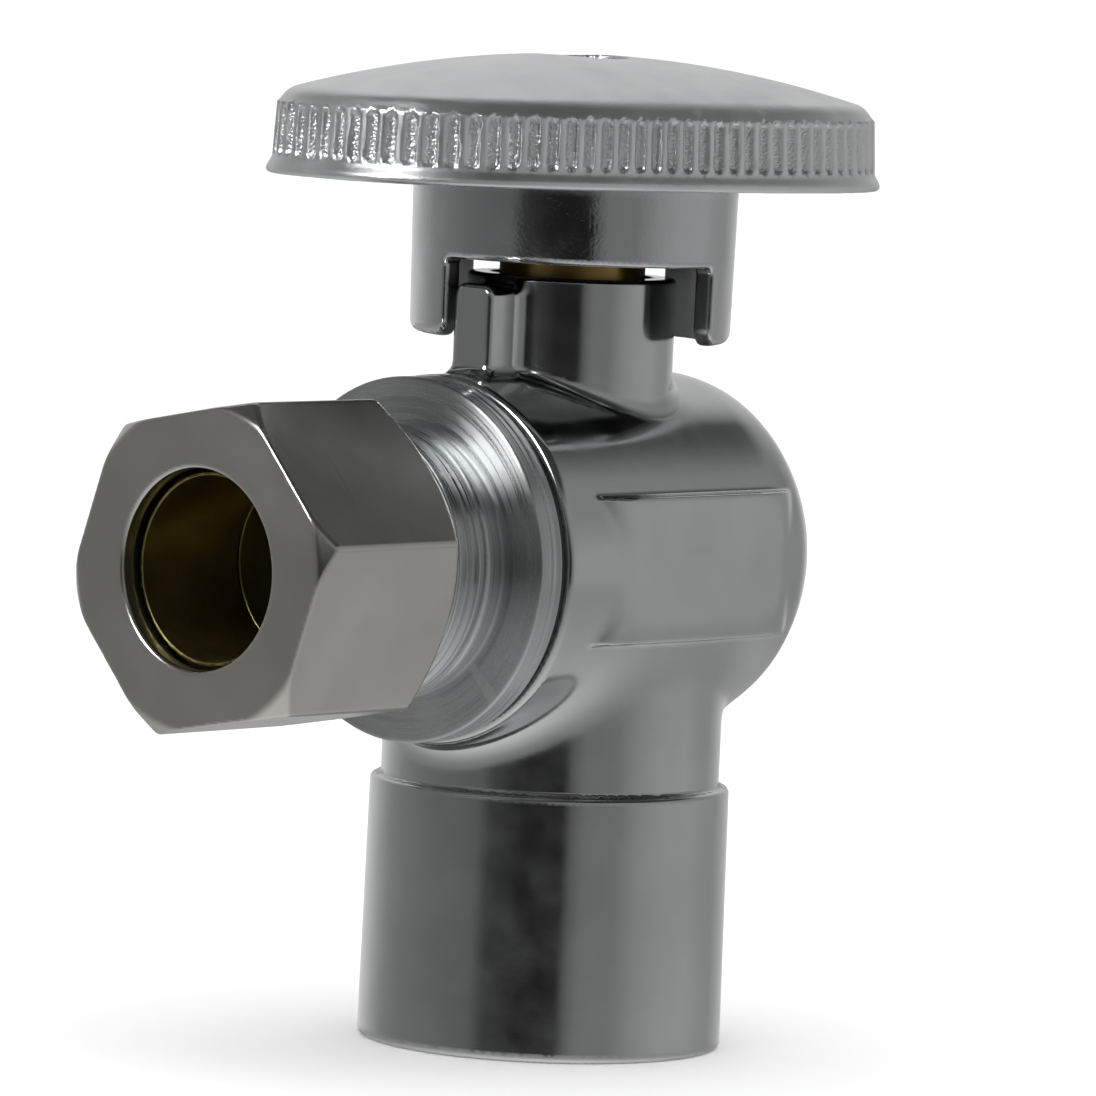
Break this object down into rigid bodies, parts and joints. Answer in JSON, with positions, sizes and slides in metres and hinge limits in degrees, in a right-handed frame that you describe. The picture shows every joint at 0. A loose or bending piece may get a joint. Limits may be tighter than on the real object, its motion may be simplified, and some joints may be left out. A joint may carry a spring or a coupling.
{
  "type": "angle stop valve",
  "caption": "Quarter-turn angle stop valve with a threaded pipe inlet below, a compression outlet for a tube at the side and an oval handle.",
  "frame": {"origin": "centre of the inlet socket's bottom face, on the axis that the inlet, the ball and the stem share", "axes": "+Z along the stem axis from the inlet to the handle, -Y out of the tube outlet, +X to the side of the label pad"},
  "size_m": [0.0304, 0.0619, 0.0705],
  "materials": {
    "cast_chrome_body": "bright chrome over a cast surface",
    "turned_chrome": "bright chrome over fine turning marks",
    "handle_chrome": "bright chrome over a die-cast surface",
    "nut_chrome": "satin chrome",
    "ball_chrome": "mirror chrome",
    "sleeve_brass": "plain turned brass, darkened",
    "stem_brass": "plain turned brass",
    "screw_steel": "zinc-plated steel",
    "seal_rubber": "black nitrile",
    "seat_ptfe": "white PTFE"
  },
  "bodies": {
    "valve": {"valve_body": "cast_chrome_body", "outlet_adapter": "turned_chrome", "adapter_o_ring": "seal_rubber", "outlet_seat": "seat_ptfe", "back_seat": "seat_ptfe", "stem_thrust_washer": "seat_ptfe"},
    "handle": {"handle": "handle_chrome", "handle_screw": "screw_steel", "screw_lock_washer": "screw_steel", "stem": "stem_brass", "stem_o_ring_lower": "seal_rubber", "stem_o_ring_upper": "seal_rubber"},
    "ball": {"ball": "ball_chrome"},
    "sleeve": {"compression_sleeve": "sleeve_brass"},
    "nut": {"compression_nut": "nut_chrome"}
  },
  "joints": [
    {"name": "handle_turn", "type": "hinge", "parent": "valve", "child": "handle", "pos_m": [0, 0, 0.06], "axis": [0, 0, 1], "range_deg": [-90, 0]},
    {"name": "ball_turn", "type": "hinge", "parent": "valve", "child": "ball", "pos_m": [0, 0, 0.035], "axis": [0, 0, 1], "range_deg": [-90, 0]},
    {"name": "sleeve_slide", "type": "slide", "parent": "valve", "child": "sleeve", "axis": [0, -1, 0], "range_m": [0, 0.0051]},
    {"name": "nut_turn", "type": "hinge", "parent": "sleeve", "child": "nut", "pos_m": [0, -0.03, 0.035], "axis": [0, -1, 0], "range_deg": [0, 1440]}
  ],
  "couplings": [
    {"joint": "ball_turn", "follows": "handle_turn", "ratio": 1},
    {"joint": "sleeve_slide", "follows": "nut_turn", "m_per_rad": 0.00020213}
  ]
}
